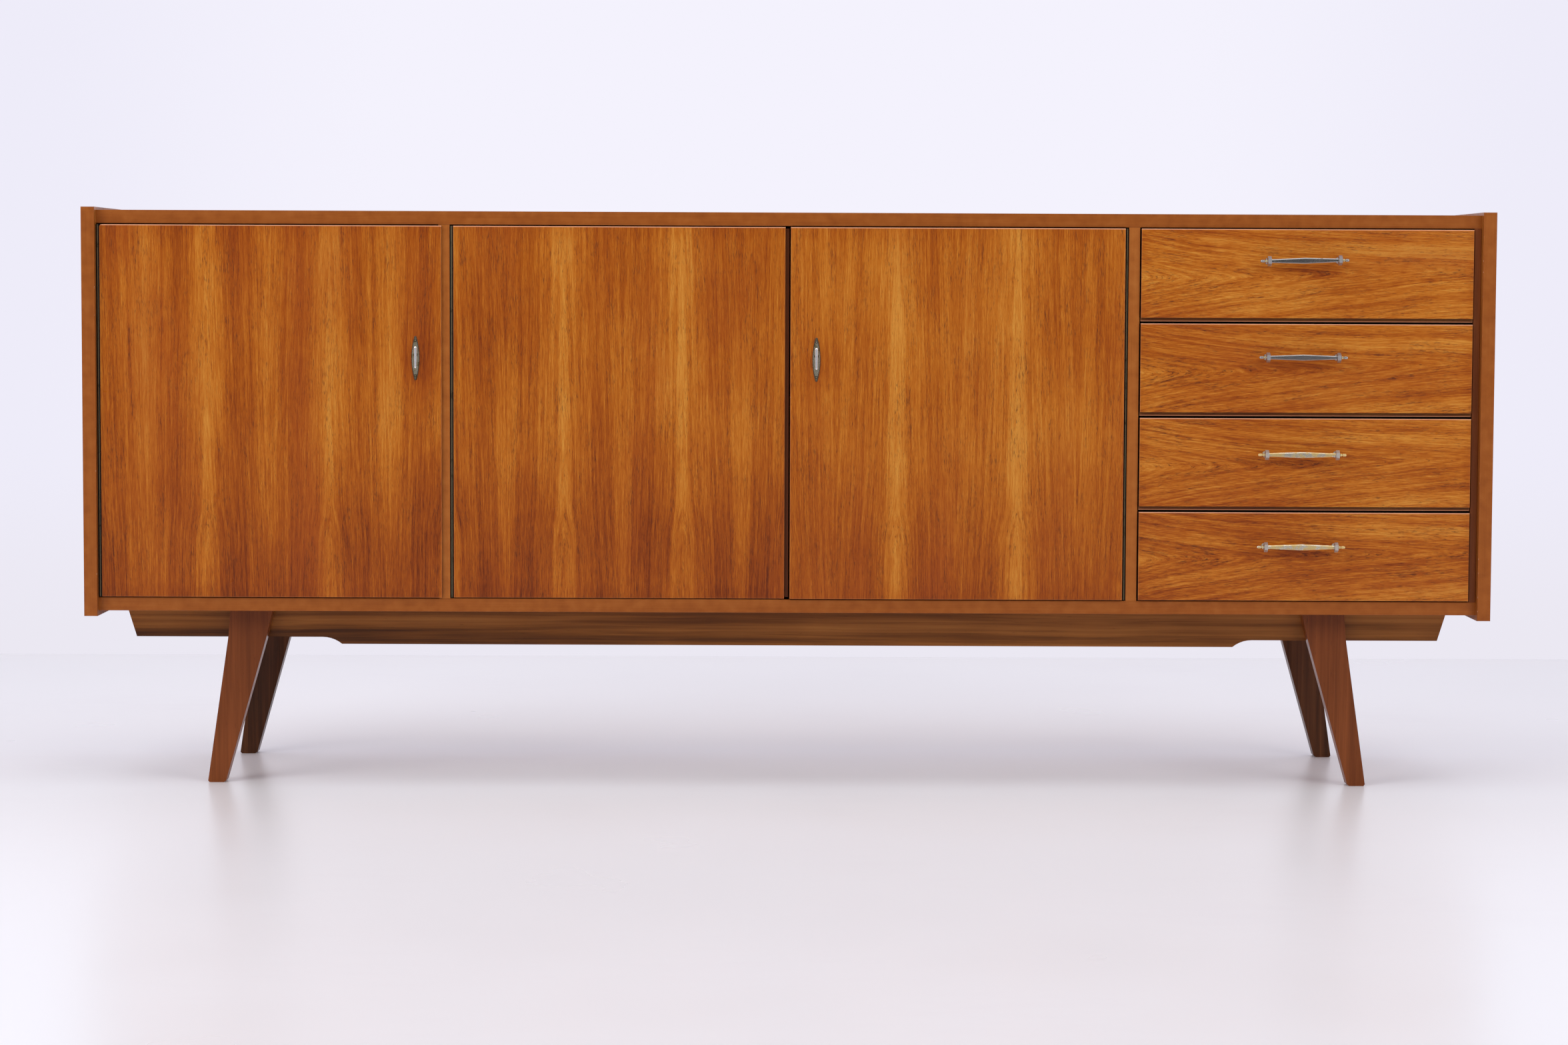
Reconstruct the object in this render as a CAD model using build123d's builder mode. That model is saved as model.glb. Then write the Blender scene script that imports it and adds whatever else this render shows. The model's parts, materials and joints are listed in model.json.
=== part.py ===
from build123d import *
import math
import os

# Sideboard on splayed legs: a long low case with a door on the left, a pair of doors in the
# middle and four drawers on the right.
# X runs along the front (to the right), Y runs from the front to the back, Z is up.
# The origin is on the floor, under the middle of the whole outline. All sizes are millimetres.

os.makedirs("parts", exist_ok=True)

# ---------------------------------------------------------------- driving dimensions
cabinet_width = 2000.0
cabinet_depth = 430.0           # side panels, front edge to back edge
cabinet_height = 825.0
side_height = 580.0             # height of the side panels
panel_t = 19.0                  # sides, top, bottom, doors and drawer fronts
arris = 0.8                     # rounding of the exposed wooden edges

side_rise = 4.0                 # sides stand above the top board
side_drop = 7.0                 # and hang below the bottom board
board_setback = 13.0            # top, bottom and partitions sit behind the sides' front edges
proud = 4.0                     # left and right doors and the drawers stand in front of the boards

partition_t = 16.0
partition_centre = 489.0        # each side of the middle
back_t = 5.0
back_inset = 1.0
back_rebate = 9.0

hinge_gap = 5.0                 # door edge to the panel that carries it
knuckle_r = 1.4
hinge_pin_r = 0.8
pin_clearance = 0.05
leaf_t = 0.8
leaf_depth = 12.0               # pin's axis to the leaf's back edge
knuckle_count = 18
knuckle_gap = 0.3
hinge_screws_per_leaf = 5
hinge_screw_r = 1.25
hinge_screw_length = 11.0
hinge_head_r = 2.3
hinge_head_t = 0.7
pilot_clearance = 0.02

door_gap = 1.6                  # above the doors
floor_gap = 1.2                 # under the doors
closing_lip = 4.7               # left door laps over the partition's front edge
lip_clearance = 0.3
edge_clearance = 1.0
middle_gap_left = -5.4          # right edge of the middle door
middle_gap_right = 2.0          # left edge of the right door
worn_corner_r = 4.0             # the left door's upper left corner is worn round
astragal_width = 5.7
astragal_recess = 6.0
astragal_short = 2.0            # shorter than the door at each end

lock_z = 618.0
lock_backset = 37.0             # keyhole to the door's closing edge
lock_width = 61.0
lock_height = 40.0
lock_t = 12.5
lock_edge_r = 1.5
lock_travel = {"left": 8.0, "right": 10.0}
bolt_y = 5.5                    # lock face to the near side of the bolt
bolt_t = 5.0
bolt_height = 12.0
bolt_length = 34.0
bolt_tip_r = 1.0
bolt_rest = 0.2                 # bolt's tip inside the lock's edge
slot_clearance = 0.3
mortise_depth = 9.0
keeper_x = (-26.0, -0.5)
keeper_t = 9.5
keeper_rim = 6.0
keeper_depth = 12.0

key_hole_r = 3.2
key_slot_width = 2.6
key_slot_drop = 12.0
escutcheon_height = 62.6
escutcheon_width = 11.7
escutcheon_tip_r = 1.8
escutcheon_t = 1.5
escutcheon_taper = 35
escutcheon_drop = 5.0           # plate centre below the keyhole
nail_inset = 6.7
nail_r = 1.1
nail_rise = 0.5
cover_pivot_drop = 16.6         # pivot below the plate's top
cover_head_r = 2.6
cover_foot_r = 1.9
cover_length = 27.2             # pivot to the foot's centre
cover_gap = 0.3
cover_rivet_r = 0.8

slide_bolt_x = middle_gap_left - 20.0
slide_bolt_r = 3.0
slide_bolt_travel = 10.0
slide_bolt_offset = 6.5         # door's back to the bolt's axis
slide_bolt_low = 715.0
slide_bolt_short = 2.5          # bolt's tip below the top board
slide_bolt_chamfer = 0.8
slide_knob_z = 752.0
slide_knob_r = 2.4
slide_knob_length = 11.0
guide_plate_z = (730.0, 796.0)
guide_plate_width = 18.0
guide_plate_t = 1.5
guide_loops_z = ((735.0, 743.0), (784.0, 792.0))
guide_loop_width = 12.0
guide_loop_wall = 1.5

drawer_count = 4
drawer_face = 126.0
drawer_lip = 5.0                # recessed strip under the upper three faces
drawer_lip_recess = 5.0
drawer_space = 3.0
drawer_side_gap = 1.6
drawer_filler_gap = 1.2
filler_width = 10.0
filler_depth = 30.0
drawer_side_t = 12.0
drawer_box_height = 100.0
drawer_box_depth = 385.0
drawer_box_rise = 8.0           # box underside above the face's lower edge
side_reveal = 1.4               # front laps past the box sides
bottom_t = 4.0
bottom_rise = 9.0
groove_depth = 5.0
joint_play = 0.1                # around a drawer's bottom and back
runner_height = 14.0
runner_bite = 6.5               # how far a runner reaches into the drawer side
runner_clearance = 0.5
runner_stop = 22.0              # groove ends this far behind the drawer front
runner_back_gap = 2.0

pull_spacing = 100.0
pull_length = 126.0
pull_standoff = 20.0
pull_drops = (44.6, 47.2, 51.0, 48.0)  # each pull's axis below the top of its drawer face
pull_shift = 7.0                # the pulls sit this far left of the middle of the drawers
pull_mid_height = 8.3
pull_end_height = 4.7
pull_mid_depth = 5.0
pull_end_depth = 4.0
pull_bevel = 1.2
pull_rises = (0.8, 0.0, 0.0, 0.0)   # the top drawer's pull is a little askew
collar_r = 7.0                  # middle to a corner
collar_width = 4.9
tip_r = 2.1
tip_profile = ((0.0, 1.6), (1.0, 1.6), (1.4, tip_r), (3.4, tip_r), (3.9, 1.4), (4.4, 1.4), (4.8, tip_r))
post_r = 2.3
post_flange_r = 4.3
post_flange_t = 1.5
stud_r = 2.0
stud_end = 1.0                  # stud beyond its nut
stud_play = 0.2
nut_r = 4.0
nut_t = 3.2

leg_t = 25.0
leg_setback = 55.0              # side panel's front edge to the front legs
leg_pitch = 313.0               # front legs to rear legs, same face to same face
leg_knee_z = 210.5
leg_foot_chamfer = 2.5
leg_outer = ((834.7, 0.0), (804.0, leg_knee_z), (800.5, 252.0))
leg_inner = ((809.2, 0.0), (749.2, leg_knee_z), (739.3, 252.0))
rail_t = 22.0
rail_end_depth = 43.5           # at the legs
rail_mid_depth = 53.5           # between the legs
rail_top_end = 953.0
rail_bottom_end = 939.5
rail_curve_outer = 671.5
rail_curve_inner = 643.5
cross_rail_places = (-700.0, 0.0, 700.0)
leg_screw_places = ((774.0, 240.0), (776.0, 222.0))
screw_shank_r = 2.5
screw_head_r = 5.0
screw_head_t = 3.0
screw_bite = 18.0
screw_end_play = 1.0
screw_clearance = 0.03

shelf_t = 16.0
shelf_z = 545.0
shelf_setback = 40.0            # behind the doors
shelf_gap = 1.0
shelf_pin_r = 2.5
shelf_pin_length = 20.0
shelf_pin_inset = 45.0

# ---------------------------------------------------------------- places worked out from them
face_setback = board_setback - proud
pull_reach = pull_standoff + collar_r * math.cos(math.radians(30))
pull_overhang = pull_reach - face_setback
y_front = pull_overhang - (cabinet_depth + pull_overhang) / 2
y_back = y_front + cabinet_depth
y_board = y_front + board_setback
y_face = y_board - proud
y_back_panel = y_back - back_inset - back_t

x_outer = cabinet_width / 2
x_inner = x_outer - panel_t
x_part_in = partition_centre - partition_t / 2
x_part_out = partition_centre + partition_t / 2

z_side = cabinet_height - side_height
z_under = z_side + side_drop
z_floor = z_under + panel_t
z_top = cabinet_height - side_rise
z_ceiling = z_top - panel_t

z_door = (z_floor + floor_gap, z_ceiling - door_gap)
hinge_length = z_door[1] - z_door[0]
knuckle_pitch = hinge_length / knuckle_count
axis_inset = hinge_gap / 2

CORNER = (Align.MIN, Align.MIN, Align.MIN)


def block(x, y, z, mode=Mode.ADD):
    """A box that spans the given pairs of limits."""
    low = (min(x), min(y), min(z))
    with Locations(low):
        Box(max(x) - low[0], max(y) - low[1], max(z) - low[2], align=CORNER, mode=mode)


def rod(centre, radius, length, axis, mode=Mode.ADD):
    """A cylinder along axis ("x", "y" or "z"), from centre towards plus."""
    turn = {"x": (0, 90, 0), "y": (-90, 0, 0), "z": (0, 0, 0)}[axis]
    with Locations(Location(centre, turn)):
        Cylinder(radius, length, align=(Align.CENTER, Align.CENTER, Align.MIN), mode=mode)


def front_edges(piece):
    """The edges of the face nearest the front."""
    return piece.faces().sort_by(Axis.Y)[0].edges()


def save(piece, name):
    """Label a finished piece and write it."""
    piece.part.label = name
    export_step(piece.part, f"parts/{name}.step")


# ---------------------------------------------------------------- hinges: where they are
# name, the x of the carrying panel's face, the side that the door lies on, the knuckles' y
hinges = {
    "left": (-x_inner, 1, y_face + knuckle_r),
    "middle": (-x_part_in, 1, y_board + knuckle_r),
    "right": (x_part_in, -1, y_board + knuckle_r),
}


def hinge_axis(name):
    """The x and y of a hinge's pin."""
    x_panel, side, y_axis = hinges[name]
    return x_panel + side * axis_inset, y_axis


def hinge_screw_places(name):
    """The y and the heights of a leaf's screws."""
    y_screw = hinge_axis(name)[1] + leaf_depth * 0.6
    step = hinge_length / hinge_screws_per_leaf
    return y_screw, [z_door[0] + step * (i + 0.5) for i in range(hinge_screws_per_leaf)]


def hinge_screw_holes(name, x_face, towards):
    """Pilot holes in the wood behind a leaf, from x_face in the direction towards (+1 or -1)."""
    y_screw, heights = hinge_screw_places(name)
    start = x_face if towards > 0 else x_face - hinge_screw_length
    for z in heights:
        rod((start, y_screw, z), hinge_screw_r + pilot_clearance, hinge_screw_length, "x", Mode.SUBTRACT)


# ---------------------------------------------------------------- shelves: where they rest
shelf_y = (y_face + panel_t + shelf_setback, y_back_panel - shelf_gap)
shelf_bays = {"left": (-x_inner, -x_part_out), "middle": (-x_part_in, x_part_in)}
shelf_pin_rows = (shelf_y[0] + shelf_pin_inset, shelf_y[1] - shelf_pin_inset)
shelf_pin_z = shelf_z - shelf_pin_r


def shelf_pin_holes(x_face, towards):
    """Two pin holes, from x_face in the direction towards (+1 or -1)."""
    depth = shelf_pin_length / 2
    start = x_face if towards > 0 else x_face - depth
    for y in shelf_pin_rows:
        rod((start, y, shelf_pin_z), shelf_pin_r + pilot_clearance, depth, "x", Mode.SUBTRACT)


# ---------------------------------------------------------------- locks: where they are
# The left door's lock throws its bolt right, into the partition. The right door's lock throws
# left, into a keeper on the middle door.
y_lock = y_face + panel_t
bolt_span = (y_lock + bolt_y, y_lock + bolt_y + bolt_t)
bolt_z = (lock_z - bolt_height / 2, lock_z + bolt_height / 2)
left_edge = -x_part_out - edge_clearance
# name, the x of the lock's own edge, the direction of its bolt
locks = {
    "left": (left_edge - edge_clearance / 2, 1),
    "right": (middle_gap_right + edge_clearance, -1),
}
key_x = {
    "left": -x_part_out + closing_lip - lock_backset,
    "right": middle_gap_right + lock_backset,
}


def grown(pair, by):
    """A pair of limits moved apart by the same amount each way."""
    return min(pair) - by, max(pair) + by


# ================================================================ the case
for name, side in (("left", -1), ("right", 1)):
    with BuildPart() as side_panel:
        block((side * x_inner, side * x_outer), (y_front, y_back), (z_side, cabinet_height))
        fillet(front_edges(side_panel), arris)
        block(
            (side * x_inner, side * (x_inner + back_rebate)),
            (y_back_panel, y_back),
            (z_under, z_top),
            Mode.SUBTRACT,
        )
        if name == "left":
            hinge_screw_holes("left", -x_inner, -1)
            shelf_pin_holes(-x_inner, -1)
    save(side_panel, f"side_panel_{name}")

slide_bolt_y = y_board + panel_t + slide_bolt_offset

with BuildPart() as top_board:
    block((-x_inner, x_inner), (y_board, y_back_panel), (z_ceiling, z_top))
    fillet(front_edges(top_board).filter_by(Axis.X), arris)
    rod(
        (slide_bolt_x, slide_bolt_y, z_ceiling),
        slide_bolt_r + slot_clearance,
        slide_bolt_travel,
        "z",
        Mode.SUBTRACT,
    )
save(top_board, "top_board")

with BuildPart() as bottom_board:
    block((-x_inner, x_inner), (y_board, y_back_panel), (z_under, z_floor))
    fillet(front_edges(bottom_board).filter_by(Axis.X), arris)
save(bottom_board, "bottom_board")

for name, side in (("left", -1), ("right", 1)):
    with BuildPart() as partition:
        block(
            (side * x_part_in, side * x_part_out),
            (y_board, y_back_panel),
            (z_floor, z_ceiling),
        )
        fillet(front_edges(partition).filter_by(Axis.Z), arris)
        hinge_screw_holes("middle" if name == "left" else "right", side * x_part_in, side)
        shelf_pin_holes(side * x_part_in, side)
        if name == "left":
            shelf_pin_holes(-x_part_out, 1)
            block(
                (-x_part_out, -x_part_out + mortise_depth),
                grown(bolt_span, slot_clearance * 2),
                grown(bolt_z, slot_clearance * 2),
                Mode.SUBTRACT,
            )
    save(partition, f"partition_{name}")

with BuildPart() as drawer_filler_strip:
    block(
        (x_inner - filler_width, x_inner),
        (y_board, y_board + filler_depth),
        (z_floor, z_ceiling),
    )
    fillet(front_edges(drawer_filler_strip).filter_by(Axis.Z), arris)
save(drawer_filler_strip, "drawer_filler_strip")

with BuildPart() as back_panel:
    block(
        (-x_inner - back_rebate + 0.5, x_inner + back_rebate - 0.5),
        (y_back_panel, y_back_panel + back_t),
        (z_under, z_top),
    )
save(back_panel, "back_panel")

for name, bay in shelf_bays.items():
    with BuildPart() as shelf:
        block(grown(bay, -shelf_gap), shelf_y, (shelf_z, shelf_z + shelf_t))
        fillet(front_edges(shelf).filter_by(Axis.X), arris)
    save(shelf, f"shelf_{name}")

with BuildPart() as shelf_pins:
    for low, high in shelf_bays.values():
        for y in shelf_pin_rows:
            rod((low - shelf_pin_length / 2, y, shelf_pin_z), shelf_pin_r, shelf_pin_length, "x")
            rod((high - shelf_pin_length / 2, y, shelf_pin_z), shelf_pin_r, shelf_pin_length, "x")
save(shelf_pins, "shelf_pins")

# ================================================================ the drawers' places
drawer_x = (x_part_out + drawer_side_gap, x_inner - filler_width - drawer_filler_gap)
drawer_pitch = drawer_face + drawer_lip + drawer_space
drawer_box_x = grown(drawer_x, -side_reveal)
drawer_box_y = (y_face + panel_t, y_face + panel_t + drawer_box_depth)


def drawer_z(index):
    """The lower and upper edge of a drawer's face, counted from the top drawer, 0."""
    upper = z_door[1] - index * drawer_pitch
    return upper - drawer_face, upper


def runner_z(index):
    """The runner's lower and upper side for one drawer."""
    middle = drawer_z(index)[0] + drawer_box_rise + drawer_box_height / 2
    return middle - runner_height / 2, middle + runner_height / 2


runner_y = (drawer_box_y[0] + runner_stop, y_back_panel - runner_back_gap)
runner_spans = (
    (x_part_out, drawer_box_x[0] + runner_bite),
    (drawer_box_x[1] - runner_bite, x_inner),
)
with BuildPart() as drawer_runners:
    for span in runner_spans:
        for index in range(drawer_count):
            block(span, runner_y, runner_z(index))
save(drawer_runners, "drawer_runners")

# ================================================================ the underframe
y_leg_front = y_front + leg_setback
leg_rows = {"front": y_leg_front, "rear": y_leg_front + leg_pitch}
rail_rows = {"front": y_leg_front + leg_t, "rear": y_leg_front + leg_pitch - rail_t}


def leg_screw_holes(y_low, length):
    """Holes for the screws that join a rail and its two legs."""
    for side in (-1, 1):
        for x, z in leg_screw_places:
            rod((side * x, y_low, z), screw_shank_r + screw_clearance, length, "y", Mode.SUBTRACT)


for row, y_leg in leg_rows.items():
    y_screw = y_leg if row == "rear" else y_leg + leg_t - screw_bite - screw_end_play
    for name, side in (("left", -1), ("right", 1)):
        with BuildPart() as leg:
            with BuildSketch(Plane.XZ.offset(-y_leg)) as outline:
                with BuildLine():
                    corners = [(side * x, z) for x, z in leg_outer + leg_inner[::-1]]
                    Polyline(*corners, close=True)
                make_face()
                foot = outline.vertices().group_by(Axis.Z)[0]
                chamfer(foot, leg_foot_chamfer)
            extrude(amount=-leg_t)
            fillet(leg.edges().group_by(Axis.Y)[0].filter_by(lambda e: e.length > leg_t), arris)
            leg_screw_holes(y_screw, screw_bite + screw_end_play)
        save(leg, f"leg_{row}_{name}")

for row, y_rail in rail_rows.items():
    z_end = z_under - rail_end_depth
    z_mid = z_under - rail_mid_depth
    with BuildPart() as rail:
        with BuildSketch(Plane.XZ.offset(-y_rail)):
            with BuildLine():
                run = rail_curve_outer - rail_curve_inner
                drop = rail_mid_depth - rail_end_depth
                curve_r = (run * run + drop * drop) / (2 * drop)
                half_turn = math.asin(run / curve_r) / 2
                bulge_x = rail_curve_outer - curve_r * math.sin(half_turn)
                bulge_z = z_end - curve_r * (1 - math.cos(half_turn))
                Polyline(
                    (-rail_curve_outer, z_end),
                    (-rail_bottom_end, z_end),
                    (-rail_top_end, z_under),
                    (rail_top_end, z_under),
                    (rail_bottom_end, z_end),
                    (rail_curve_outer, z_end),
                )
                ThreePointArc(
                    (rail_curve_outer, z_end), (bulge_x, bulge_z), (rail_curve_inner, z_mid)
                )
                Line((rail_curve_inner, z_mid), (-rail_curve_inner, z_mid))
                ThreePointArc(
                    (-rail_curve_inner, z_mid), (-bulge_x, bulge_z), (-rail_curve_outer, z_end)
                )
            make_face()
        extrude(amount=-rail_t)
        leg_screw_holes(y_rail, rail_t)
    save(rail, f"{row}_rail")

with BuildPart() as cross_rails:
    for x in cross_rail_places:
        block(
            (x - rail_t / 2, x + rail_t / 2),
            (rail_rows["front"] + rail_t, rail_rows["rear"]),
            (z_under - rail_end_depth, z_under),
        )
save(cross_rails, "cross_rails")

with BuildPart() as leg_screws:
    for side in (-1, 1):
        for x, z in leg_screw_places:
            y_head = rail_rows["front"] + rail_t
            rod((side * x, y_head - rail_t - screw_bite, z), screw_shank_r, rail_t + screw_bite, "y")
            rod((side * x, y_head, z), screw_head_r, screw_head_t, "y")
            y_head = rail_rows["rear"]
            rod((side * x, y_head, z), screw_shank_r, rail_t + screw_bite, "y")
            rod((side * x, y_head - screw_head_t, z), screw_head_r, screw_head_t, "y")
save(leg_screws, "leg_screws")


# ================================================================ the piano hinges
def hinge_leaf(name, on_door):
    """One leaf of a piano hinge with its own knuckles: even ones fixed, odd ones on the door."""
    x_axis, y_axis = hinge_axis(name)
    side = hinges[name][1] * (1 if on_door else -1)
    plate_x = (x_axis + side * (axis_inset - leaf_t), x_axis + side * axis_inset)
    web_x = (x_axis + side * knuckle_r * 0.7, x_axis + side * axis_inset)
    web_y = (y_axis + pin_clearance, y_axis + leaf_t)
    y_screw, heights = hinge_screw_places(name)
    block(plate_x, (web_y[0], y_axis + leaf_depth), z_door)
    for i in range(1 if on_door else 0, knuckle_count, 2):
        low = z_door[0] + i * knuckle_pitch + knuckle_gap / 2
        length = knuckle_pitch - knuckle_gap
        rod((x_axis, y_axis, low), knuckle_r, length, "z")
        block(web_x, web_y, (low, low + length))
    bore_r = hinge_pin_r + pin_clearance
    rod((x_axis, y_axis, z_door[0]), bore_r, hinge_length, "z", Mode.SUBTRACT)
    for z in heights:
        rod((min(plate_x), y_screw, z), hinge_screw_r + pin_clearance, leaf_t, "x", Mode.SUBTRACT)


def hinge_screws(name, on_door):
    """The screws of one leaf, shank and head."""
    x_axis = hinge_axis(name)[0]
    side = hinges[name][1] * (1 if on_door else -1)
    x_leaf = x_axis + side * (axis_inset - leaf_t)
    y_screw, heights = hinge_screw_places(name)
    for z in heights:
        shank_x = min(x_leaf, x_leaf + side * hinge_screw_length)
        head_x = min(x_leaf, x_leaf - side * hinge_head_t)
        rod((shank_x, y_screw, z), hinge_screw_r, hinge_screw_length, "x")
        rod((head_x, y_screw, z), hinge_head_r, hinge_head_t, "x")


with BuildPart() as case_leaves:
    for name in hinges:
        hinge_leaf(name, on_door=False)
save(case_leaves, "hinge_leaves_case")

for name in hinges:
    with BuildPart() as door_leaf:
        hinge_leaf(name, on_door=True)
    save(door_leaf, f"hinge_leaf_door_{name}")
    with BuildPart() as door_screws:
        hinge_screws(name, on_door=True)
    save(door_screws, f"hinge_screws_door_{name}")

with BuildPart() as case_screws:
    for name in hinges:
        hinge_screws(name, on_door=False)
save(case_screws, "hinge_screws_case")

with BuildPart() as hinge_pins:
    for name in hinges:
        rod((*hinge_axis(name), z_door[0] + 0.1), hinge_pin_r, hinge_length - 0.2, "z")
save(hinge_pins, "hinge_pins")

# ================================================================ the doors
door_spans = {
    "left": (-x_inner + hinge_gap, left_edge, y_face),
    "middle": (-x_part_in + hinge_gap, middle_gap_left, y_board),
    "right": (middle_gap_right, x_part_in - hinge_gap, y_face),
}


def key_slot(x, y, depth):
    """A keyhole cut along Y: a round hole with a narrower slot below it."""
    rod((x, y, lock_z), key_hole_r, depth, "y", Mode.SUBTRACT)
    slot_x = grown((x, x), key_slot_width / 2)
    block(slot_x, (y, y + depth), (lock_z - key_slot_drop, lock_z), Mode.SUBTRACT)


for name, (x_low, x_high, y_door) in door_spans.items():
    with BuildPart() as door:
        block((x_low, x_high), (y_door, y_door + panel_t), z_door)
        if name == "left":
            lip_t = proud - lip_clearance
            block((x_high, -x_part_out + closing_lip), (y_door, y_door + lip_t), z_door)
            upper_corner = door.edges().filter_by(Axis.Y).group_by(Axis.Z)[-1].sort_by(Axis.X)[0]
            fillet(upper_corner, worn_corner_r)
        fillet(front_edges(door), arris)
        if name in locks:
            key_slot(key_x[name], y_door, panel_t)
        if hinges[name][1] > 0:
            hinge_screw_holes(name, x_low, 1)
        else:
            hinge_screw_holes(name, x_high, -1)
    save(door, f"door_{name}")

with BuildPart() as astragal_strip:
    block(
        (middle_gap_left, middle_gap_left + astragal_width),
        (y_board + astragal_recess, y_board + panel_t),
        grown(z_door, -astragal_short),
    )
    fillet(front_edges(astragal_strip).filter_by(Axis.Z), arris)
save(astragal_strip, "astragal_strip")

# ---------------------------------------------------------------- locks, bolts and their plates
for name, (edge, throw) in locks.items():
    back = edge - throw * lock_width
    channel = (edge - throw * (bolt_length + slot_clearance), edge)
    with BuildPart() as lock_case:
        block((back, edge), (y_lock, y_lock + lock_t), grown((lock_z, lock_z), lock_height / 2))
        fillet(lock_case.faces().sort_by(Axis.Y)[-1].edges(), lock_edge_r)
        block(channel, grown(bolt_span, slot_clearance), grown(bolt_z, slot_clearance), Mode.SUBTRACT)
        key_slot(key_x[name], y_lock, bolt_y - slot_clearance)
    save(lock_case, f"lock_case_{name}")

    tip = edge - throw * bolt_rest
    with BuildPart() as lock_bolt:
        block((tip - throw * bolt_length, tip), bolt_span, bolt_z)
        tip_edges = lock_bolt.faces().sort_by(Axis.X)[-1 if throw > 0 else 0].edges()
        fillet(tip_edges.filter_by(Axis.Z), bolt_tip_r)
    save(lock_bolt, f"lock_bolt_{name}")

# ---------------------------------------------------------------- escutcheons and key covers
z_plate = lock_z - escutcheon_drop
z_plate_top = z_plate + escutcheon_height / 2
z_pivot = z_plate_top - cover_pivot_drop
y_plate = y_face - escutcheon_t
y_cover = y_plate - cover_gap

for name in locks:
    x_key = key_x[name]
    with BuildPart() as escutcheon:
        half_width = escutcheon_width / 2
        half_height = escutcheon_height / 2
        shoulder = half_height - escutcheon_tip_r
        tip_side = x_key + escutcheon_tip_r
        tip_other = x_key - escutcheon_tip_r
        with BuildSketch(Plane.XZ.offset(-y_face)):
            with BuildLine():
                upper = (z_plate + shoulder, z_plate + half_height)
                lower = (z_plate - shoulder, z_plate - half_height)
                ThreePointArc((tip_other, upper[0]), (x_key, upper[1]), (tip_side, upper[0]))
                ThreePointArc((tip_side, upper[0]), (x_key + half_width, z_plate), (tip_side, lower[0]))
                ThreePointArc((tip_side, lower[0]), (x_key, lower[1]), (tip_other, lower[0]))
                ThreePointArc((tip_other, lower[0]), (x_key - half_width, z_plate), (tip_other, upper[0]))
            make_face()
        extrude(amount=escutcheon_t, taper=escutcheon_taper)
        for side in (-1, 1):
            z_nail = z_plate + side * (half_height - nail_inset)
            rod((x_key, y_plate - nail_rise, z_nail), nail_r, escutcheon_t, "y")
        key_slot(x_key, y_plate, escutcheon_t)
        rivet_hole_r = cover_rivet_r + pin_clearance
        rod((x_key, y_plate, z_pivot), rivet_hole_r, escutcheon_t, "y", Mode.SUBTRACT)
    save(escutcheon, f"escutcheon_{name}")

    with BuildPart() as key_cover:
        with BuildSketch(Plane.XZ.offset(-y_cover)):
            with BuildLine():
                head_top = (x_key, z_pivot + cover_head_r)
                head_side = (x_key + cover_head_r, z_pivot)
                foot_side = (x_key + cover_foot_r, z_pivot - cover_length)
                foot_end = (x_key, z_pivot - cover_length - cover_foot_r)
                RadiusArc(head_top, head_side, cover_head_r)
                Line(head_side, foot_side)
                RadiusArc(foot_side, foot_end, cover_foot_r)
                Line(foot_end, head_top)
            make_face()
        revolve(axis=Axis((x_key, y_cover, z_pivot), (0, 0, 1)))
        split(bisect_by=Plane.XZ.offset(-y_cover), keep=Keep.TOP)
        rod((x_key, y_cover, z_pivot), cover_rivet_r, escutcheon_t, "y")
    save(key_cover, f"key_cover_{name}")

y_middle_back = y_board + panel_t
with BuildPart() as lock_keeper:
    block(keeper_x, (y_middle_back, y_middle_back + keeper_t), grown(bolt_z, keeper_rim))
    block(
        (keeper_x[1] - keeper_depth, keeper_x[1]),
        grown(bolt_span, slot_clearance),
        grown(bolt_z, slot_clearance),
        Mode.SUBTRACT,
    )
save(lock_keeper, "lock_keeper")

# ---------------------------------------------------------------- slide bolt of the middle door
bore_length = guide_plate_z[1] - guide_plate_z[0]
with BuildPart() as slide_bolt_guide:
    plate_back = y_middle_back + guide_plate_t
    block(
        grown((slide_bolt_x, slide_bolt_x), guide_plate_width / 2),
        (y_middle_back, plate_back),
        guide_plate_z,
    )
    loop_back = slide_bolt_y + slide_bolt_r + guide_loop_wall
    for span in guide_loops_z:
        block(grown((slide_bolt_x, slide_bolt_x), guide_loop_width / 2), (plate_back, loop_back), span)
    bore_start = (slide_bolt_x, slide_bolt_y, guide_plate_z[0])
    rod(bore_start, slide_bolt_r + pin_clearance, bore_length, "z", Mode.SUBTRACT)
save(slide_bolt_guide, "slide_bolt_guide")

with BuildPart() as slide_bolt:
    bolt_rise = z_ceiling - slide_bolt_short - slide_bolt_low
    rod((slide_bolt_x, slide_bolt_y, slide_bolt_low), slide_bolt_r, bolt_rise, "z")
    chamfer(slide_bolt.faces().sort_by(Axis.Z)[-1].edges(), slide_bolt_chamfer)
    rod((slide_bolt_x, slide_bolt_y, slide_knob_z), slide_knob_r, slide_knob_length, "y")
save(slide_bolt, "slide_bolt")


# ================================================================ the drawers
def pull_posts(index):
    """The x and z of a pull's two posts, left and right."""
    middle = sum(drawer_x) / 2 - pull_shift
    half = pull_spacing / 2
    z = drawer_z(index)[1] - pull_drops[index]
    rise = pull_rises[index]
    return (middle - half, z - rise), (middle + half, z + rise)


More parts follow.
